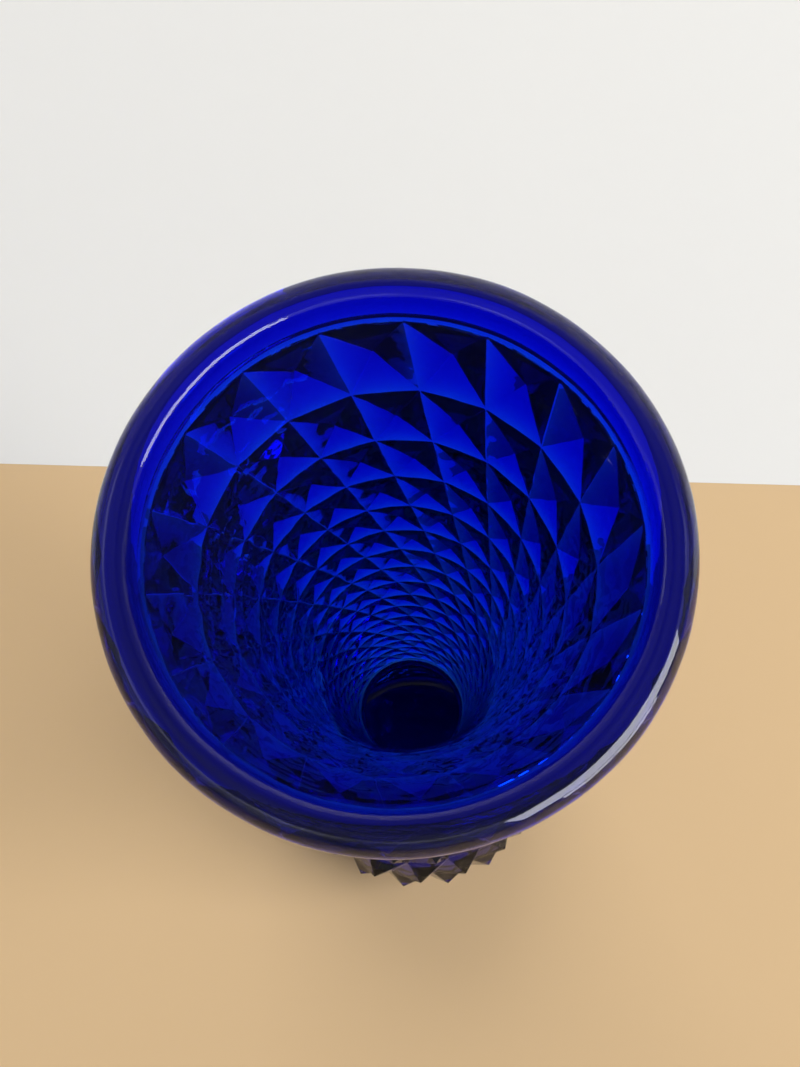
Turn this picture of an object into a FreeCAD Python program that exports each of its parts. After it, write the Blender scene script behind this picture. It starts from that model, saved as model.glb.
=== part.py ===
import FreeCAD, Part
import math
import os

# Hyacinth forcing vase in cobalt glass: a flared cup for the bulb, a narrow neck and a root
# chamber on a solid foot. Millimetres, +Z up, origin at the centre of the base on the table.

# Foot: a solid disc of glass, ground flat, hollowed a little so that it stands on a ring
foot_thickness = 8.0
foot_radius = 24.5
foot_edge_rounding = 2.5
foot_hollow_radius = 15.0
foot_hollow_depth = 1.4

# Root chamber: a bell that swells towards the foot, with a closed round bottom
chamber_length = 67.0
chamber_base_radius = 27.0
chamber_belly_radius = 29.2
chamber_belly_rise = 12.8
chamber_neck_radius = 14.5
chamber_wall = 2.8
chamber_floor = 3.0
chamber_floor_rounding = 8.0
chamber_rows = 7
chamber_row_share = 1.11
chamber_row_twist = 8.0
chamber_tip_angle = 18.4

# Neck: a plain waist of glass between cup and chamber
neck_length = 8.0
neck_waist_radius = 12.2
neck_wall = 2.0

# Cup: a long cone with a trumpet flare, pointed outside and smooth inside, thickest at the rim
cup_length = 129.5
cup_throat_radius = 12.8
cup_taper = 0.12
cup_flare_width = 11.8
cup_flare_length = 26.2
cup_rim_wall = 3.4
cup_throat_wall = 2.0
cup_rows = 17
cup_row_share = 0.92
cup_top_angle = 2.75
cup_first_twist = 4.65
cup_twist_growth = 0.5

# Rim: a thick fire-polished bead round the mouth
rim_bead_radius = 4.2
rim_radius = 46.0
rim_lip_rounding = 2.1
rim_collar_height = 0.8

# Diamond points: four-sided pyramids, as deep for their width all the way down. The cup's hang
# a little towards its throat.
columns = 18
cup_point_depth_share = 0.32
cup_point_droop_share = 0.12
chamber_point_depth_share = 0.42
chamber_point_droop_share = 0.0

# How many points a flowing curve is drawn through
curve_points = 12

full_turn = 360.0
column_angle = full_turn / columns
half_column = math.radians(column_angle) / 2

chamber_bottom = foot_thickness
chamber_top = chamber_bottom + chamber_length
cup_bottom = chamber_top + neck_length
cup_top = cup_bottom + cup_length
rim_bead_height = cup_top + rim_collar_height + rim_bead_radius


def profile_point(radius, height):
    """A point of a turned profile, drawn in the XZ plane."""
    return FreeCAD.Vector(radius, 0, height)


def line(start, end):
    return Part.LineSegment(start, end).toShape()


def arc(start, middle, end):
    return Part.Arc(start, middle, end).toShape()


def bend(start, corner, end):
    """A smooth edge that leaves start towards corner and comes from corner into end."""
    curve = Part.BezierCurve()
    curve.setPoles([start, corner, end])
    return curve.toShape()


def flowing(radius_at, low, high):
    """A smooth edge from one height to another that follows a radius formula."""
    heights = [low + (high - low) * i / curve_points for i in range(curve_points + 1)]
    curve = Part.BSplineCurve()
    curve.interpolate([profile_point(radius_at(z), z) for z in heights])
    return curve.toShape()


def turned(edges):
    """The solid made by turning a closed profile about the vase's axis."""
    face = Part.Face(Part.Wire(Part.__sortEdges__(edges)))
    return face.revolve(FreeCAD.Vector(), FreeCAD.Vector(0, 0, 1), full_turn)


def outline(points, edges):
    """Closes a run of edges with straight lines through the points given after it."""
    return edges + [line(a, b) for a, b in zip(points, points[1:])]


def cup_radius(z):
    """The cup's outside between its points: a cone, and a flare that grows to the mouth."""
    flare = cup_flare_width * math.exp((z - cup_top) / cup_flare_length)
    return cup_throat_radius + cup_taper * (z - cup_bottom) + flare


def cup_bore(z):
    thinning = (cup_rim_wall - cup_throat_wall) * (cup_top - z) / cup_length
    return cup_radius(z) - cup_rim_wall + thinning


def chamber_radius(z):
    """The chamber's outside: it curves out of the neck to the belly and in to the foot."""
    belly = chamber_bottom + chamber_belly_rise
    if z > belly:
        rise = (z - belly) / (chamber_top - belly)
        swell = (1 + math.cos(math.pi * rise)) / 2
        return chamber_neck_radius + (chamber_belly_radius - chamber_neck_radius) * swell
    drop = (belly - z) / chamber_belly_rise
    return chamber_belly_radius - (chamber_belly_radius - chamber_base_radius) * drop**2


def chamber_bore(z):
    return chamber_radius(z) - chamber_wall


def row_heights(start, length, rows, share):
    """Heights of the rings between rows, each row a fixed share of the one before it."""
    first = length * (1 - share) / (1 - share**rows)
    return [start - first * (1 - share**k) / (1 - share) for k in range(rows + 1)]


def ring(radius, height, first_angle):
    """The corners that the pyramids of two rows share."""
    angles = [math.radians(first_angle + i * column_angle) for i in range(columns)]
    return [FreeCAD.Vector(radius * math.cos(a), radius * math.sin(a), height) for a in angles]


def triangle(a, b, c):
    return Part.Face(Part.makePolygon([a, b, c, a]))


def pyramid(corners, depth_share, droop_share):
    """Four facets that rise from four corners to a point, square to the wall but for its droop."""
    upper_left, upper_right, lower_right, lower_left = corners
    centre = (upper_left + upper_right + lower_right + lower_left) / 4
    across = (upper_right - upper_left + lower_right - lower_left) / 2
    down = (lower_left - upper_left + lower_right - upper_right) / 2
    outward = (upper_left - lower_right).cross(upper_right - lower_left).normalize()
    if outward.x * centre.x + outward.y * centre.y < 0:
        outward = -outward
    tip = centre + outward * (across.Length * depth_share) + down * droop_share
    return [triangle(a, b, tip) for a, b in zip(corners, corners[1:] + corners[:1])]


def pointed_body(rings, depth_share, droop_share):
    """A solid body whose side is rows of pyramids, with a flat top and a flat bottom."""
    faces = [Part.Face(Part.makePolygon(end + end[:1])) for end in (rings[0], rings[-1])]
    for above, below in zip(rings, rings[1:]):
        for i in range(columns):
            j = (i + 1) % columns
            corners = [above[i], above[j], below[j], below[i]]
            faces += pyramid(corners, depth_share, droop_share)
    shell = Part.Shell(faces)
    shell.sewShape()
    body = Part.makeSolid(shell)
    return body if body.Volume > 0 else body.reversed()


def cup_rings():
    """The columns lean further round with each row, as twisted glass does."""
    rings = []
    for k, z in enumerate(row_heights(cup_top, cup_length, cup_rows, cup_row_share)):
        twist = cup_first_twist * k + cup_twist_growth * k * (k - 1) / 2
        rings.append(ring(cup_radius(z), z, cup_top_angle - twist))
    return rings


def chamber_rings():
    """The same columns, turned so that the lowest row's tips lie where the vase has them."""
    start = chamber_tip_angle - column_angle / 2 + chamber_row_twist * (chamber_rows - 1 / 2)
    heights = row_heights(chamber_top, chamber_length, chamber_rows, chamber_row_share)
    return [
        ring(chamber_radius(z), z, start - chamber_row_twist * k) for k, z in enumerate(heights)
    ]


def rim_bead():
    """A round bead outside, a softened lip inside, and a throat that flows into the cup."""
    crown_radius = rim_radius - rim_bead_radius
    mouth_radius = crown_radius - rim_lip_rounding
    crown_height = rim_bead_height + rim_bead_radius
    lip_height = crown_height - rim_lip_rounding
    thinning = (cup_rim_wall - cup_throat_wall) / cup_length
    slope = cup_taper + cup_flare_width / cup_flare_length - thinning
    seat_inside = profile_point(cup_bore(cup_top), cup_top)
    seat_outside = profile_point(cup_radius(cup_top), cup_top)
    meeting_height = cup_top + (mouth_radius - seat_inside.x) / slope
    crown = profile_point(crown_radius, crown_height)
    lip = profile_point(mouth_radius, lip_height)
    edge = profile_point(rim_radius, rim_bead_height)
    underside = profile_point(crown_radius, rim_bead_height - rim_bead_radius)
    return turned([
        bend(seat_inside, profile_point(mouth_radius, meeting_height), lip),
        bend(lip, profile_point(mouth_radius, crown_height), crown),
        quarter_of_bead(crown, edge, profile_point(crown_radius, rim_bead_height)),
        quarter_of_bead(underside, edge, profile_point(crown_radius, rim_bead_height)),
        line(underside, seat_outside),
        line(seat_outside, seat_inside),
    ])


def quarter_of_bead(start, end, centre):
    """A quarter circle between two points that lie square to each other round the centre."""
    diagonal = ((start - centre) + (end - centre)).normalize()
    return arc(start, centre + diagonal * (start - centre).Length, end)


def bulb_cup():
    body = pointed_body(cup_rings(), cup_point_depth_share, cup_point_droop_share)
    top_inside = profile_point(cup_bore(cup_top), cup_top)
    bottom_inside = profile_point(cup_bore(cup_bottom), cup_bottom)
    corners = [top_inside, profile_point(0, cup_top), profile_point(0, cup_bottom), bottom_inside]
    return body.cut(turned(outline(corners, [flowing(cup_bore, cup_bottom, cup_top)])))


def waist(top_radius, middle_radius, bottom_radius):
    """A hollow-sided edge down the neck that is middle_radius wide at half height."""
    middle = profile_point(
        2 * middle_radius - (top_radius + bottom_radius) / 2, (cup_bottom + chamber_top) / 2
    )
    top = profile_point(top_radius, cup_bottom)
    bottom = profile_point(bottom_radius, chamber_top)
    return bend(top, middle, bottom)


def neck_ring():
    """Its ends match the glass above and below, inside and out."""
    flat = math.cos(half_column)
    outer_top, outer_bottom = cup_radius(cup_bottom) * flat, chamber_radius(chamber_top) * flat
    inner_top, inner_bottom = cup_bore(cup_bottom), chamber_bore(chamber_top)
    return turned([
        waist(outer_top, neck_waist_radius, outer_bottom),
        waist(inner_top, neck_waist_radius - neck_wall, inner_bottom),
        line(profile_point(inner_top, cup_bottom), profile_point(outer_top, cup_bottom)),
        line(profile_point(inner_bottom, chamber_top), profile_point(outer_bottom, chamber_top)),
    ])


def root_chamber():
    body = pointed_body(chamber_rings(), chamber_point_depth_share, chamber_point_droop_share)
    floor = chamber_bottom + chamber_floor
    side = floor + chamber_floor_rounding
    side_point = profile_point(chamber_bore(side), side)
    corner = profile_point(chamber_bore(floor), floor)
    floor_point = profile_point(chamber_bore(floor) - chamber_floor_rounding, floor)
    top_inside = profile_point(chamber_bore(chamber_top), chamber_top)
    edges = [flowing(chamber_bore, side, chamber_top), bend(floor_point, corner, side_point)]
    points = [floor_point, profile_point(0, floor), profile_point(0, chamber_top), top_inside]
    return body.cut(turned(outline(points, edges)))


def foot_disc():
    seat_radius = chamber_radius(chamber_bottom) * math.cos(half_column)
    seat = profile_point(seat_radius, chamber_bottom)
    side = profile_point(foot_radius, foot_edge_rounding)
    ring_outside = profile_point(foot_radius - foot_edge_rounding, 0)
    ring_inside = profile_point(foot_hollow_radius, 0)
    hollow_middle = profile_point(0, foot_hollow_depth)
    edges = [
        bend(seat, profile_point(foot_radius, chamber_bottom / 2), side),
        bend(side, profile_point(foot_radius, 0), ring_outside),
        line(ring_outside, ring_inside),
        bend(ring_inside, profile_point(foot_hollow_radius / 2, foot_hollow_depth), hollow_middle),
    ]
    return turned(outline([hollow_middle, profile_point(0, chamber_bottom), seat], edges))


def main():
    pieces = {
        "rim_bead": rim_bead(),
        "bulb_cup": bulb_cup(),
        "neck_ring": neck_ring(),
        "root_chamber": root_chamber(),
        "foot_disc": foot_disc(),
    }
    os.makedirs("parts", exist_ok=True)
    for name, shape in pieces.items():
        solid = shape.Solids[0]
        box = solid.BoundBox
        print(name, len(shape.Solids), "solid", len(solid.Faces), "faces", solid.isValid())
        print("  volume %.0f mm3, height %.1f to %.1f" % (solid.Volume, box.ZMin, box.ZMax))
        solid.exportStep("parts/" + name + ".step")


main()
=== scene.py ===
import math

import bpy
from mathutils import Matrix, Vector, noise


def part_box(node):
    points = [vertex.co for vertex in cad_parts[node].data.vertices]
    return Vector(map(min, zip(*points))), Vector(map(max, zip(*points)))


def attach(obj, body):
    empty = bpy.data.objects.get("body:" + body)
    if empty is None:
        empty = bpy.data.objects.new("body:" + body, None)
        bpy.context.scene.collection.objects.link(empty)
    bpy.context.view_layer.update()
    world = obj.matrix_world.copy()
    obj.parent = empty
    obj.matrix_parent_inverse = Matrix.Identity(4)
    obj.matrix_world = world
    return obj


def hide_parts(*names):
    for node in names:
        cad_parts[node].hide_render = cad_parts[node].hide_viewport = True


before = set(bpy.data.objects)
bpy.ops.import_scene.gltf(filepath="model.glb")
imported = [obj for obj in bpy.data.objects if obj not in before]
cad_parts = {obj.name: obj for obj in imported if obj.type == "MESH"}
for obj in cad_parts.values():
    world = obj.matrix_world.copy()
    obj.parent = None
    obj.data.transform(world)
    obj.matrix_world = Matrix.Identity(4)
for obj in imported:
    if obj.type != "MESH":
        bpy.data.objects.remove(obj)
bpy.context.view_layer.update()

mm = 0.001


# Foot
# The thick disc of solid glass that the vase stands on. It is pressed in the same mould as the
# root chamber, its edge is melted round, and it is ground flat to a ring round a shallow hollow.
foot_radius = 24.5 * mm
foot_edge_rounding = 2.5 * mm
foot_hollow_radius = 15 * mm
foot_hollow_depth = 1.4 * mm
hollow_centre_radius = 0.5 * mm
foot_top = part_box("foot_disc")[1].z
chamber_base_radius = 27 * mm

columns = 18
column_angle = math.tau / columns
steps_per_column = 16
segments = columns * steps_per_column
flat_of_corners = math.cos(column_angle / 2)
edge_melt = 0.16 * mm
wear_spacing = 5 * mm
hand_marks_seed = 1
noise.seed_set(hand_marks_seed)


def polar(radius, angle, height):
    return Vector((radius * math.cos(angle), radius * math.sin(angle), height))


def bend(start, corner, end, steps):
    """Points of a smooth line from start towards corner and into end, without its start."""
    line = []
    for i in range(1, steps + 1):
        t = i / steps
        first, middle, last = (1 - t) ** 2, 2 * t * (1 - t), t**2
        line.append(tuple(first * a + middle * b + last * c for a, b, c in zip(start, corner, end)))
    return line


class GlassSkin:
    """One closed skin of glass, built up ring by ring, with the mould's points on it."""

    def __init__(self):
        self.places = []
        self.faces = []

    def add(self, places):
        start = len(self.places)
        self.places += places
        return list(range(start, start + len(places)))

    def round_ring(self, radius, height, swell=None):
        """A round ring. swell gives the radius a small change at each place."""
        ring = []
        for i in range(segments):
            angle = math.tau * i / segments
            place = polar(radius, angle, height)
            ring.append(polar(radius + swell(place), angle, height) if swell else place)
        return self.add(ring)

    def corner_ring(self, radius, height, first_angle):
        """The corners that the points of two rows share."""
        angles = [first_angle + i * column_angle for i in range(columns)]
        return self.add([polar(radius, angle, height) for angle in angles])

    def turn(self, rings):
        """Joins round rings. The skin faces outwards where they run downwards."""
        for above, below in zip(rings, rings[1:]):
            for i in range(segments):
                j = (i + 1) % segments
                self.faces.append((above[i], below[i], below[j], above[j]))

    def row_of_points(self, above, below, depth_share, droop_share, wear):
        """A row of four-sided points between two rings of corners. wear is how far a tip strays."""
        for i in range(columns):
            j = (i + 1) % columns
            corners = [above[i], below[i], below[j], above[j]]
            upper_left, lower_left, lower_right, upper_right = (self.places[c] for c in corners)
            upper = (upper_left + upper_right) / 2
            lower = (lower_left + lower_right) / 2
            across = (upper_right - upper_left + lower_right - lower_left) / 2
            outward = (lower_right - upper_left).cross(upper_right - lower_left).normalized()
            seat = upper.lerp(lower, 0.5 + droop_share)
            seat += noise.noise_vector(seat / wear_spacing) * wear
            (tip,) = self.add([seat + outward * across.length * depth_share])
            for a, b in zip(corners, corners[1:] + corners[:1]):
                self.faces.append((a, b, tip))

    def ledge(self, corners, ring, first_angle, faces_down):
        """The thin flat step between a ring of corners and a round ring at its height."""
        for i in range(columns):
            start = round((first_angle + i * column_angle) / math.tau * segments)
            arc = [ring[(start + s) % segments] for s in range(steps_per_column + 1)]
            face = [corners[i], *arc, corners[(i + 1) % columns]]
            self.faces.append(tuple(face[::-1] if faces_down else face))

    def lid(self, ring, middle, faces_down):
        """Closes a round ring on the axis."""
        (centre,) = self.add([middle])
        for i in range(segments):
            j = (i + 1) % segments
            edge = (ring[j], ring[i]) if faces_down else (ring[i], ring[j])
            self.faces.append((*edge, centre))

    def piece(self, name, point_rows):
        """The finished piece. The fire melts the edges between the facets a little."""
        mesh = bpy.data.meshes.new(name)
        mesh.from_pydata(self.places, [], self.faces)
        mesh.shade_smooth()
        corners = {corner for row in point_rows for corner in row}
        facets_at = {}
        for face in mesh.polygons:
            if len(face.vertices) == 3 and corners.intersection(face.vertices):
                for edge in face.edge_keys:
                    facets_at[edge] = facets_at.get(edge, 0) + 1
        melt = mesh.attributes.new("bevel_weight_edge", "FLOAT", "EDGE")
        for edge in mesh.edges:
            melt.data[edge.index].value = float(facets_at.get(edge.key) == 2)
        glass_piece = bpy.data.objects.new(name, mesh)
        bpy.context.scene.collection.objects.link(glass_piece)
        polish = glass_piece.modifiers.new("fire_polish", "BEVEL")
        polish.limit_method = "WEIGHT"
        polish.width = edge_melt
        polish.segments = 3
        polish.use_clamp_overlap = False
        crisp = glass_piece.modifiers.new("crisp_facets", "EDGE_SPLIT")
        crisp.split_angle = math.radians(7)
        crisp.use_edge_sharp = False
        return glass_piece


# The glass is cobalt blue all through, so its colour deepens with its thickness. Its skin keeps
# faint smears and the slow ripple of blown glass.
cobalt_glass = bpy.data.materials.new("cobalt_glass")
cobalt_glass.use_nodes = True
nodes, links = cobalt_glass.node_tree.nodes, cobalt_glass.node_tree.links
skin = nodes["Principled BSDF"]
skin.inputs["Base Color"].default_value = (0.90, 0.93, 1.0, 1)
skin.inputs["Transmission Weight"].default_value = 0.997
skin.inputs["IOR"].default_value = 1.52
tint = nodes.new("ShaderNodeVolumeAbsorption")
tint.inputs["Color"].default_value = (0.0, 0.51, 0.966, 1)
tint.inputs["Density"].default_value = 2300
links.new(tint.outputs["Volume"], nodes["Material Output"].inputs["Volume"])
where = nodes.new("ShaderNodeTexCoord")

smears = nodes.new("ShaderNodeTexNoise")
smears.inputs["Scale"].default_value = 55
smears.inputs["Detail"].default_value = 6
smears.inputs["Distortion"].default_value = 1.4
links.new(where.outputs["Object"], smears.inputs["Vector"])
dullness = nodes.new("ShaderNodeMapRange")
dullness.inputs["From Min"].default_value = 0.56
dullness.inputs["From Max"].default_value = 0.78
dullness.inputs["To Min"].default_value = 0.004
dullness.inputs["To Max"].default_value = 0.07
links.new(smears.outputs["Fac"], dullness.inputs["Value"])
links.new(dullness.outputs["Result"], skin.inputs["Roughness"])

ripple = nodes.new("ShaderNodeTexNoise")
ripple.inputs["Scale"].default_value = 130
ripple.inputs["Detail"].default_value = 2
ripple.inputs["Distortion"].default_value = 0.6
links.new(where.outputs["Object"], ripple.inputs["Vector"])
ripple_height = nodes.new("ShaderNodeBump")
ripple_height.inputs["Distance"].default_value = 0.00005
links.new(ripple.outputs["Fac"], ripple_height.inputs["Height"])
links.new(ripple_height.outputs["Normal"], skin.inputs["Normal"])

root_skin = GlassSkin()
foot_seat = (chamber_base_radius * flat_of_corners, foot_top)
foot_side = (foot_radius, foot_edge_rounding)
ring_outside = (foot_radius - foot_edge_rounding, 0.0)
ring_inside = (foot_hollow_radius, 0.0)
hollow_middle = (hollow_centre_radius, foot_hollow_depth)
foot_line = [foot_seat]
foot_line += bend(foot_seat, (foot_radius, foot_top / 2), foot_side, 20)
foot_line += bend(foot_side, (foot_radius, 0.0), ring_outside, 16)
foot_line.append(ring_inside)
foot_line += bend(ring_inside, (foot_hollow_radius / 2, foot_hollow_depth), hollow_middle, 16)
foot_rings = [root_skin.round_ring(radius, height) for radius, height in foot_line]
root_skin.turn(foot_rings)
root_skin.lid(foot_rings[-1], Vector((0, 0, foot_hollow_depth)), True)


# Root chamber
# The round bell of glass that holds the water and the roots. It is blown into the mould that
# gives it seven rows of four-sided points, and it is smooth inside, with a rounded floor.
chamber_bottom, chamber_top = (corner.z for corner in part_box("root_chamber"))
chamber_belly_radius = 29.2 * mm
chamber_belly_rise = 12.8 * mm
chamber_neck_radius = 14.5 * mm
chamber_wall = 2.8 * mm
chamber_floor = 3 * mm
chamber_floor_rounding = 8 * mm
floor_centre_radius = 0.4 * mm
chamber_rows = 7
chamber_row_share = 1.11
chamber_row_twist = math.radians(8)
chamber_tip_angle = math.radians(18.4)
chamber_point_depth_share = 0.42
chamber_point_wear = 0.1 * mm
long_swell, long_swell_spacing = 0.06 * mm, 14 * mm
short_swell, short_swell_spacing = 0.10 * mm, 6 * mm


def chamber_radius(z):
    belly = chamber_bottom + chamber_belly_rise
    if z > belly:
        rise = (z - belly) / (chamber_top - belly)
        swell = (1 + math.cos(math.pi * rise)) / 2
        return chamber_neck_radius + (chamber_belly_radius - chamber_neck_radius) * swell
    drop = (belly - z) / chamber_belly_rise
    return chamber_belly_radius - (chamber_belly_radius - chamber_base_radius) * drop**2


def chamber_bore(z):
    return chamber_radius(z) - chamber_wall


def row_heights(start, length, rows, share):
    """Heights of the rings between rows, each row a fixed share of the one above it."""
    first = length * (1 - share) / (1 - share**rows)
    return [start - first * (1 - share**k) / (1 - share) for k in range(rows + 1)]


def hand_made(place):
    """The small swells that blown glass keeps on its smooth side."""
    long = long_swell * noise.noise(place / long_swell_spacing)
    short = short_swell * noise.noise(place / short_swell_spacing + Vector((7, 3, 1)))
    return long + short


chamber_turns = []
chamber_corners = []
first_turn = chamber_tip_angle - column_angle / 2 + chamber_row_twist * (chamber_rows - 1 / 2)
chamber_length = chamber_top - chamber_bottom
for k, z in enumerate(row_heights(chamber_top, chamber_length, chamber_rows, chamber_row_share)):
    chamber_turns.append(first_turn - chamber_row_twist * k)
    chamber_corners.append(root_skin.corner_ring(chamber_radius(z), z, chamber_turns[-1]))
for above, below in zip(chamber_corners, chamber_corners[1:]):
    root_skin.row_of_points(above, below, chamber_point_depth_share, 0.0, chamber_point_wear)
root_skin.ledge(chamber_corners[-1], foot_rings[0], chamber_turns[-1], False)

floor_height = chamber_bottom + chamber_floor
side_height = floor_height + chamber_floor_rounding
side = (chamber_bore(side_height), side_height)
floor_edge = (chamber_bore(floor_height) - chamber_floor_rounding, floor_height)
side_steps = 90
side_step = (chamber_top - side_height) / side_steps
floor_steps = 12
chamber_line = []
for i in range(1, side_steps + 1):
    z = chamber_top - side_step * i
    chamber_line.append((chamber_bore(z), z))
chamber_line += bend(side, (chamber_bore(floor_height), floor_height), floor_edge, 20)
chamber_inside = [root_skin.round_ring(radius, z, hand_made) for radius, z in chamber_line]
for i in range(2, floor_steps + 1):
    ring_radius = floor_edge[0] * (1 - i / floor_steps) + floor_centre_radius
    chamber_inside.append(root_skin.round_ring(ring_radius, floor_height))
root_skin.turn(chamber_inside[::-1])
root_skin.lid(chamber_inside[-1], Vector((0, 0, floor_height)), False)


# Neck
# The plain waist between chamber and cup, where the mould has no points. It is drawn in while the
# glass is hot, and it keeps the bulb above the water. It is one skin with the chamber and foot.
cup_bottom, cup_top = (corner.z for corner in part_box("bulb_cup"))
cup_length = cup_top - cup_bottom
cup_throat_radius = 12.8 * mm
cup_taper = 0.12
cup_flare_width = 11.8 * mm
cup_flare_length = 26.2 * mm
cup_rim_wall = 3.4 * mm
cup_throat_wall = 2 * mm
wall_thinning = (cup_rim_wall - cup_throat_wall) / cup_length
neck_waist_radius = 12.2 * mm
neck_wall = 2 * mm
joint_gap = 0.02 * mm


def cup_radius(z):
    flare = cup_flare_width * math.exp((z - cup_top) / cup_flare_length)
    return cup_throat_radius + cup_taper * (z - cup_bottom) + flare


def cup_bore(z):
    return cup_radius(z) - cup_rim_wall + wall_thinning * (cup_top - z)


def waist(top_radius, middle_radius, bottom_radius):
    """A hollow-sided line down the neck that is middle_radius wide at half height."""
    pull = 2 * middle_radius - (top_radius + bottom_radius) / 2
    start = (top_radius, cup_bottom - joint_gap)
    corner = (pull, (cup_bottom + chamber_top) / 2)
    return [start] + bend(start, corner, (bottom_radius, chamber_top), 24)


neck_line = waist(
    cup_radius(cup_bottom) * flat_of_corners,
    neck_waist_radius,
    chamber_radius(chamber_top) * flat_of_corners,
)
neck_outside = [root_skin.round_ring(radius, z) for radius, z in neck_line]
neck_line = waist(cup_bore(cup_bottom), neck_waist_radius - neck_wall, chamber_bore(chamber_top))
neck_inside = [root_skin.round_ring(radius, z) for radius, z in neck_line]
root_skin.turn(neck_outside)
root_skin.turn([chamber_inside[0]] + neck_inside[::-1])
root_skin.turn([neck_inside[0], neck_outside[0]])
root_skin.ledge(chamber_corners[0], neck_outside[-1], chamber_turns[0], True)
root_vessel = root_skin.piece("root_vessel", chamber_corners)
root_vessel.data.materials.append(cobalt_glass)
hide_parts("neck_ring", "root_chamber", "foot_disc")
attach(root_vessel, "root")


# Bulb cup
# The long trumpet of glass that the bulb sits in. Its points lean further round with each row,
# because it was twisted as it left the mould, and a fold in the hot glass left swirls inside.
cup_rows = 17
cup_row_share = 0.92
cup_top_angle = math.radians(2.75)
cup_first_twist = math.radians(4.65)
cup_twist_growth = math.radians(0.5)
cup_point_depth_share = 0.32
cup_point_droop_share = 0.12
cup_point_wear = 0.5 * mm
fold_swell, fold_spacing = 1.1 * mm, 5.4 * mm
lap_swell = 0.5 * mm
warp_spacing = 6 * mm
low_ripple, low_ripple_spacing = 0.07 * mm, 3.6 * mm
wrinkle, wrinkle_spacing = 0.11 * mm, 2.4 * mm
settling_depth = 8 * mm
bore_steps = 150

cup_skin = GlassSkin()
cup_corners = []
cup_turns = []
for k, z in enumerate(row_heights(cup_top, cup_length, cup_rows, cup_row_share)):
    cup_turns.append(cup_top_angle - cup_first_twist * k - cup_twist_growth * k * (k - 1) / 2)
    cup_corners.append(cup_skin.corner_ring(cup_radius(z), z, cup_turns[-1]))
for above, below in zip(cup_corners, cup_corners[1:]):
    droop = 0.0 if above == cup_corners[0] else cup_point_droop_share
    cup_skin.row_of_points(above, below, cup_point_depth_share, droop, cup_point_wear)


def near(value, middle, reach):
    return math.exp(-(((value - middle) / reach) ** 2))


def cup_inside(place):
    """The cup's smooth side: hand-made swells, the fold on its left, wrinkles and low ripples."""
    angle = math.degrees(math.atan2(place.y, place.x)) % 360
    depth = cup_top - place.z
    fold = fold_swell * near(angle, 168, 34) * near(depth, 19 * mm, 15 * mm)
    lap = lap_swell * near(angle, 238, 50) * near(depth, 18 * mm, 22 * mm)
    swirl = place / fold_spacing + 1.1 * noise.noise_vector(place / warp_spacing)
    front = 0.4 + 0.6 * near(angle, 250, 110)
    low = min(1.0, max(0.0, (depth - 25 * mm) / (30 * mm)))
    wave = (fold + lap) * noise.noise(swirl)
    wave += low_ripple * low * front * noise.noise(place / low_ripple_spacing + Vector((3, 9, 4)))
    wave += wrinkle * noise.noise(place / wrinkle_spacing + Vector((5, 1, 8)))
    settled = min(1.0, depth / settling_depth)
    return (hand_made(place) + wave) * settled


bore = []
for i in range(1, bore_steps + 1):
    z = cup_top - cup_length * i / bore_steps
    bore.append(cup_skin.round_ring(cup_bore(z), z, cup_inside))
cup_skin.ledge(cup_corners[-1], bore[-1], cup_turns[-1], False)


# Rim
# The thick round bead of glass at the cup's mouth, one skin with the cup. The hot edge is rolled
# over and melted back in the fire, which leaves a crease under it and makes it a little uneven.
rim_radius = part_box("rim_bead")[1].x
rim_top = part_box("rim_bead")[1].z
rim_bead_radius = 4.2 * mm
rim_lip_rounding = 2.1 * mm
rim_crown_radius = rim_radius - rim_bead_radius
rim_bead_height = rim_top - rim_bead_radius
mouth_radius = rim_crown_radius - rim_lip_rounding
crease_depth = 0.6 * mm
crease_height = 0.15 * mm
crease_drift, crease_drift_spacing = 0.5 * mm, 2.4 * mm
bead_foot_reach = 0.5 * mm
bead_foot_height = 0.9 * mm
bead_steps = 40
bead_swell, bead_swell_spacing = 0.12 * mm, 16 * mm
bead_ripple, bead_ripple_spacing = 0.045 * mm, 6 * mm
bead_spare = 0.08 * mm


def crease_ring(radius, height):
    """The crease wanders a little up and down, where the hot edge met the cup."""
    places = []
    for i in range(segments):
        angle = math.tau * i / segments
        place = polar(radius, angle, height)
        drift = noise.noise_vector(place / crease_drift_spacing) * crease_drift
        places.append(polar(radius + drift.x, angle, height + drift.z))
    return cup_skin.add(places)


def rolled(place):
    """The rolled edge is not quite even round the mouth, and never passes its full width."""
    swell = bead_swell * noise.noise(place / bead_swell_spacing)
    ripple = bead_ripple * noise.noise(place / bead_ripple_spacing)
    return swell + ripple - bead_spare


rim_seat = (cup_radius(cup_top), cup_top)
crease = (rim_seat[0] - crease_depth, cup_top + crease_height)
rim_line = [(rim_seat[0] + bead_foot_reach, cup_top + bead_foot_height)]
for i in range(bead_steps + 1):
    climb = math.pi * (i / bead_steps - 1 / 2)
    height = rim_bead_height + rim_bead_radius * math.sin(climb)
    rim_line.append((rim_crown_radius + rim_bead_radius * math.cos(climb), height))
lip = (mouth_radius, rim_top - rim_lip_rounding)
seat_inside = (cup_bore(cup_top), cup_top)
slope = cup_taper + cup_flare_width / cup_flare_length - wall_thinning
meeting = (mouth_radius, cup_top + (mouth_radius - seat_inside[0]) / slope)
rim_line += bend(rim_line[-1], (mouth_radius, rim_top), lip, 12)
rim_line += bend(lip, meeting, seat_inside, 16)
rim_rings = [cup_skin.round_ring(*rim_seat), crease_ring(*crease)]
rim_rings += [cup_skin.round_ring(radius, height, rolled) for radius, height in rim_line]
cup_skin.turn((rim_rings + bore)[::-1])
cup_skin.ledge(cup_corners[0], rim_rings[0], cup_turns[0], True)
bulb_cup = cup_skin.piece("bulb_cup_and_rim", cup_corners)
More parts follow.
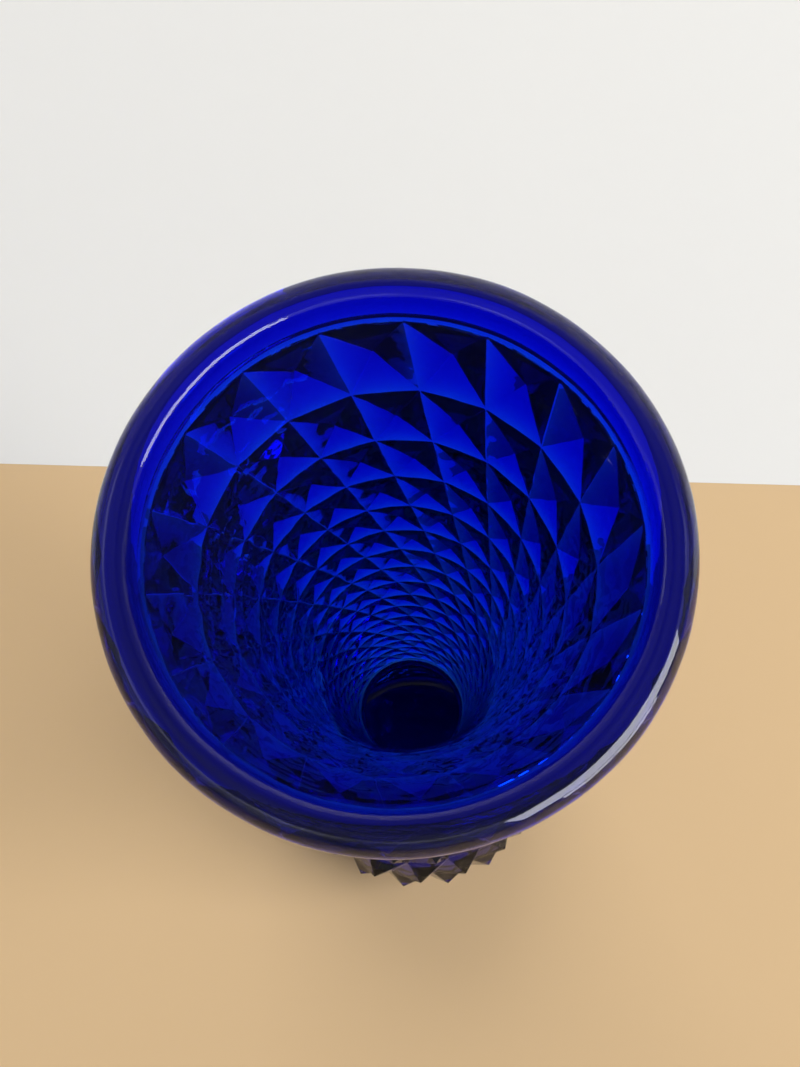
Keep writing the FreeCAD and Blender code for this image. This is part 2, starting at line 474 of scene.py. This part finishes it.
bulb_cup.data.materials.append(cobalt_glass)
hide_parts("bulb_cup", "rim_bead")
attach(bulb_cup, "root")


# Table and backdrop
# The vase stands on a plain matt table the colour of pale wood. A wide white sheet begins just
# behind it, lies flat on the table, and rises as a wall a good way back.
stage_half_width = 8


def stage_sheet(name, side_line, turned, colour):
    """A plain matt sheet. side_line gives its places from front to back as (y, z)."""
    places = [(x, y, z) for y, z in side_line for x in (-stage_half_width, stage_half_width)]
    faces = [(2 * i, 2 * i + 1, 2 * i + 3, 2 * i + 2) for i in range(len(side_line) - 1)]
    sheet_mesh = bpy.data.meshes.new(name)
    sheet_mesh.from_pydata(places, [], faces)
    sheet_mesh.shade_smooth()
    sheet = bpy.data.objects.new(name, sheet_mesh)
    sheet.rotation_euler.z = turned
    bpy.context.scene.collection.objects.link(sheet)
    paint = bpy.data.materials.new(name)
    paint.use_nodes = True
    matt = paint.node_tree.nodes["Principled BSDF"]
    matt.inputs["Base Color"].default_value = (*colour, 1)
    matt.inputs["Roughness"].default_value = 0.85
    matt.inputs["Specular IOR Level"].default_value = 0.2
    sheet_mesh.materials.append(paint)


table_height = -0.1 * mm
table_colour = (0.74, 0.52, 0.29)
sheet_height = -0.05 * mm
sheet_front = (0.078, sheet_height)
sheet_foot = (1.1, sheet_height)
wall_foot = (1.6, 0.5)
wall_top = (1.6, 2.2)
sheet_turn = math.radians(-7.4)
sheet_colour = (0.86, 0.85, 0.82)
table_line = [(-stage_half_width, table_height), (stage_half_width, table_height)]
sheet_rise = bend(sheet_foot, (wall_foot[0], sheet_height), wall_foot, 16)
sheet_line = [sheet_front, sheet_foot, *sheet_rise, wall_top]
stage_sheet("table", table_line, 0, table_colour)
stage_sheet("backdrop", sheet_line, sheet_turn, sheet_colour)


# Light
# Even light from the room, a little brighter at half height, and two soft boxes that light the
# table and the backdrop. Two more at the front right draw the bright streak along the rim.
room = bpy.data.worlds.new("room")
bpy.context.scene.world = room
room.use_nodes = True
nodes, links = room.node_tree.nodes, room.node_tree.links
nodes["Background"].inputs["Color"].default_value = (0.97, 0.98, 1.0, 1)
direction = nodes.new("ShaderNodeTexCoord")
room_height = nodes.new("ShaderNodeSeparateXYZ")
links.new(direction.outputs["Generated"], room_height.inputs["Vector"])
band = nodes.new("ShaderNodeValToRGB")
band.color_ramp.elements[0].color = (0.22, 0.22, 0.22, 1)
band.color_ramp.elements[1].position = 0.44
band.color_ramp.elements[1].color = (0.25, 0.25, 0.25, 1)
for stop, level in ((0.50, 0.58), (0.57, 0.58), (0.62, 0.14), (1.0, 0.09)):
    band.color_ramp.elements.new(stop).color = (level, level, level, 1)
links.new(room_height.outputs["Z"], band.inputs["Fac"])
uneven = nodes.new("ShaderNodeTexNoise")
uneven.inputs["Scale"].default_value = 2.2
links.new(direction.outputs["Generated"], uneven.inputs["Vector"])
spread = nodes.new("ShaderNodeMapRange")
spread.inputs["From Min"].default_value = 0.35
spread.inputs["From Max"].default_value = 0.65
spread.inputs["To Min"].default_value = 0.6
spread.inputs["To Max"].default_value = 2.0
links.new(uneven.outputs["Fac"], spread.inputs["Value"])
strength = nodes.new("ShaderNodeMath")
strength.operation = "MULTIPLY"
links.new(band.outputs["Color"], strength.inputs[0])
links.new(spread.outputs["Result"], strength.inputs[1])
links.new(strength.outputs["Value"], nodes["Background"].inputs["Strength"])


def soft_box(name, place, aim, width, height, power, in_glass):
    """A soft lamp. It either shows in the glass or lights the table and the backdrop."""
    lamp = bpy.data.lights.new(name, "AREA")
    lamp.shape = "RECTANGLE"
    lamp.size = width
    lamp.size_y = height
    lamp.energy = power
    box = bpy.data.objects.new(name, lamp)
    bpy.context.scene.collection.objects.link(box)
    box.visible_camera = False
    box.visible_diffuse = not in_glass
    box.visible_glossy = box.visible_transmission = in_glass
    box.location = place
    box.rotation_euler = (Vector(aim) - Vector(place)).to_track_quat("-Z", "Y").to_euler()


soft_box("back_box", (-0.14, 1.05, 1.15), (0, 0.25, 0), 1.3, 0.6, 7.2, False)
soft_box("main_box", (1.5, -0.5, 1.4), (0, 0.1, 0), 1.4, 1.0, 34, False)
soft_box("window", (1.15, -0.92, 0.74), (0, 0, 0.22), 1.65, 0.80, 29, True)
soft_box("low_window", (0.95, -0.80, 0.17), (0, 0, 0.10), 0.70, 0.22, 3.4, True)


# Camera
# It looks steeply down into the cup from just in front of the vase, as the photograph does, and is
# turned a little about its own axis.
camera_lens = bpy.data.cameras.new("camera")
camera = bpy.data.objects.new("camera", camera_lens)
bpy.context.scene.collection.objects.link(camera)
bpy.context.scene.camera = camera
picture_width = 800
focal_length_in_pixels = 2000
camera_lens.sensor_fit = "HORIZONTAL"
camera_lens.sensor_width = 36
camera_lens.lens = camera_lens.sensor_width * focal_length_in_pixels / picture_width
camera_lens.clip_start = 0.01
look_down = math.radians(74.77)
roll = math.radians(-5.53)
camera_place = Vector((1.15 * mm, -76.6 * mm, rim_bead_height + 291.9 * mm))
forward = Vector((0, math.cos(look_down), -math.sin(look_down)))
level_right = Vector((1, 0, 0))
level_up = level_right.cross(forward)
right = level_right * math.cos(roll) + level_up * math.sin(roll)
up = level_up * math.cos(roll) - level_right * math.sin(roll)
camera_turn = Matrix((right, up, -forward)).transposed().to_4x4()
camera.matrix_world = Matrix.Translation(camera_place) @ camera_turn

scene = bpy.context.scene
scene.view_settings.view_transform = "Standard"
scene.cycles.max_bounces = 24
scene.cycles.transmission_bounces = 24
scene.cycles.glossy_bounces = 12
